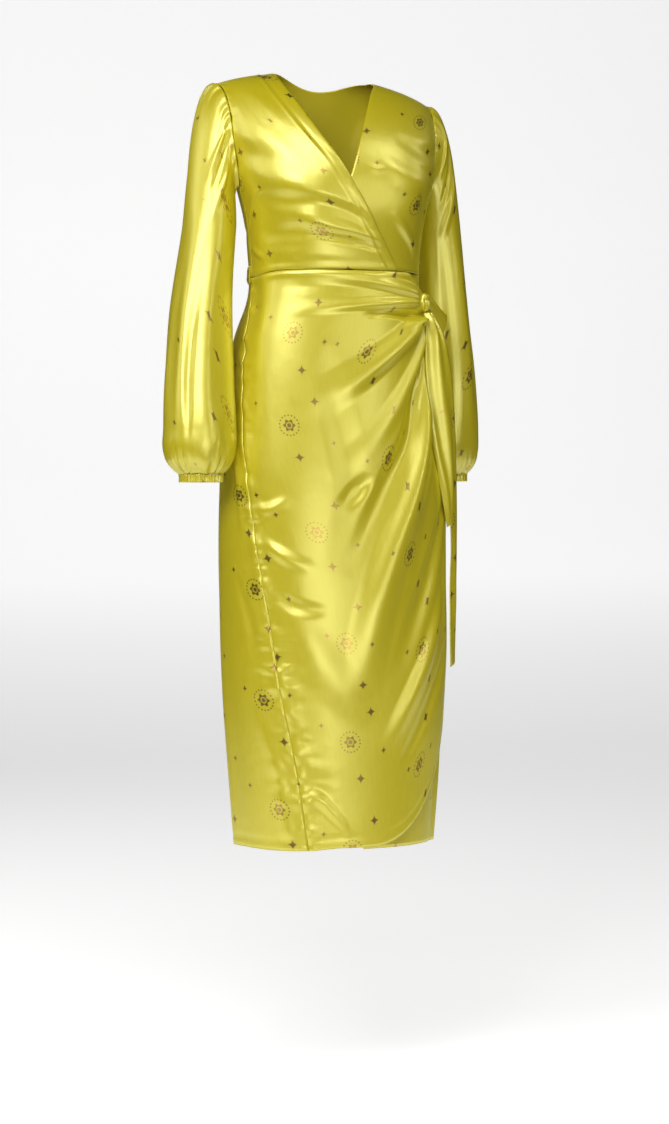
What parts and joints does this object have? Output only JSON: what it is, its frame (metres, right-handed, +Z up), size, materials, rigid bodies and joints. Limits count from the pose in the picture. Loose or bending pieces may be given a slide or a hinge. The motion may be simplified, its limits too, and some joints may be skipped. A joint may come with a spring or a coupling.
{
  "type": "wrap dress",
  "caption": "Midi wrap dress in satin with a crossed V neck, long full sleeves gathered into narrow cuffs, and a skirt drawn into a side knot with hanging tie ends.",
  "frame": {"origin": "on the line of the shoulders, midway between them, where a wearer or hanger holds the dress", "axes": "+Z up, the front of the dress faces -Y, the wearer's right is towards -X"},
  "size_m": [0.554, 0.2763, 1.1876],
  "materials": {
    "bodice_front_over": "satin",
    "bodice_front_under": "satin",
    "bodice_back": "satin",
    "skirt_front_over": "satin",
    "skirt_front_under": "satin",
    "skirt_back": "satin",
    "sleeve_right": "satin",
    "sleeve_left": "satin",
    "cuff_right": "satin",
    "cuff_left": "satin",
    "tie_back": "satin",
    "tie_tail_front": "satin",
    "tie_tail_back": "satin",
    "tie_ear": "satin",
    "tie_knot": "satin"
  },
  "bodies": {
    "root": {"bodice_front_over": "bodice_front_over", "bodice_front_under": "bodice_front_under", "bodice_back": "bodice_back", "skirt_front_over": "skirt_front_over", "skirt_front_under": "skirt_front_under", "skirt_back": "skirt_back", "sleeve_right": "sleeve_right", "sleeve_left": "sleeve_left", "cuff_right": "cuff_right", "cuff_left": "cuff_left", "tie_back": "tie_back", "tie_tail_front": "tie_tail_front", "tie_tail_back": "tie_tail_back", "tie_ear": "tie_ear", "tie_knot": "tie_knot"}
  },
  "joints": []
}
